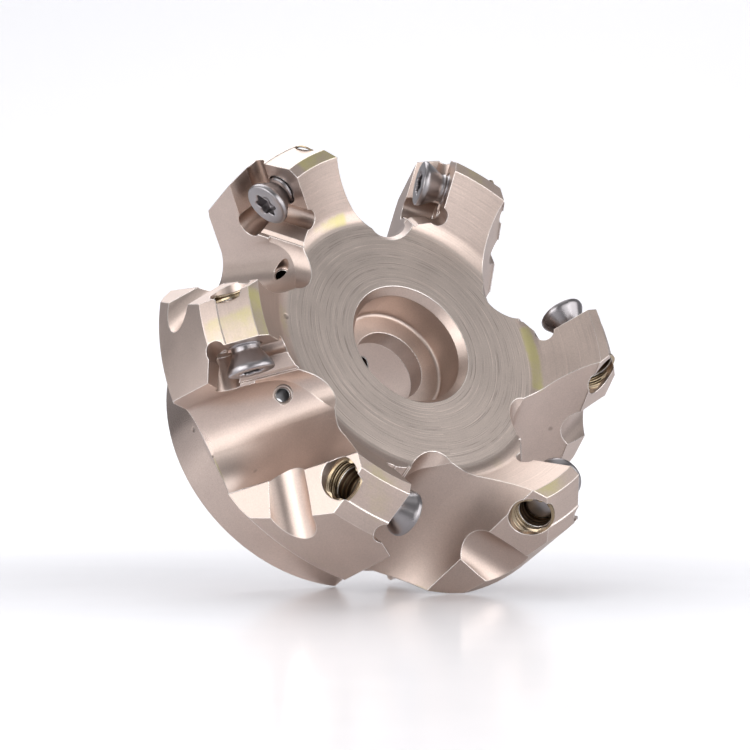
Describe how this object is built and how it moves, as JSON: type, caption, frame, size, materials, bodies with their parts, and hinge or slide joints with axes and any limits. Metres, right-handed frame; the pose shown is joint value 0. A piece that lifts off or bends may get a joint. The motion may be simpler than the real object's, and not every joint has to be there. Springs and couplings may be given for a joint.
{
  "type": "indexable face mill",
  "caption": "Shell-type 45 degree face mill body with empty square insert pockets, insert screws, coolant holes and a keyed arbor bore.",
  "frame": {"origin": "on the tool axis, in the back mounting face", "axes": "+Z along the tool axis towards the cutting face; X along the drive slot; Y square to both"},
  "size_m": [0.072, 0.0722, 0.0381],
  "materials": {
    "body_steel": "satin nickel-bronze coating, fine grain, turned rings on the hub",
    "screw_steel": "dark burnished steel"
  },
  "bodies": {
    "cutter": {"cutter_body": "body_steel"},
    "screw_1": {"insert_screw_1": "screw_steel"},
    "screw_2": {"insert_screw_2": "screw_steel"},
    "screw_3": {"insert_screw_3": "screw_steel"},
    "screw_4": {"insert_screw_4": "screw_steel"},
    "screw_5": {"insert_screw_5": "screw_steel"},
    "screw_6": {"insert_screw_6": "screw_steel"}
  },
  "joints": [
    {"name": "screw_1_travel", "type": "slide", "parent": "cutter", "child": "screw_1", "axis": [-0.5582, 0.8006, -0.2178], "range_m": [-0.0013, 0.007]},
    {"name": "screw_2_travel", "type": "slide", "parent": "cutter", "child": "screw_2", "axis": [0.4143, 0.8837, -0.2178], "range_m": [-0.0016, 0.007]},
    {"name": "screw_3_travel", "type": "slide", "parent": "cutter", "child": "screw_3", "axis": [0.9725, 0.083, -0.2178], "range_m": [-0.0018, 0.007]},
    {"name": "screw_4_travel", "type": "slide", "parent": "cutter", "child": "screw_4", "axis": [0.5582, -0.8006, -0.2178], "range_m": [-0.0016, 0.007]},
    {"name": "screw_5_travel", "type": "slide", "parent": "cutter", "child": "screw_5", "axis": [-0.4143, -0.8837, -0.2178], "range_m": [-0.0018, 0.007]},
    {"name": "screw_6_travel", "type": "slide", "parent": "cutter", "child": "screw_6", "axis": [-0.9725, -0.083, -0.2178], "range_m": [-0.0014, 0.007]}
  ]
}
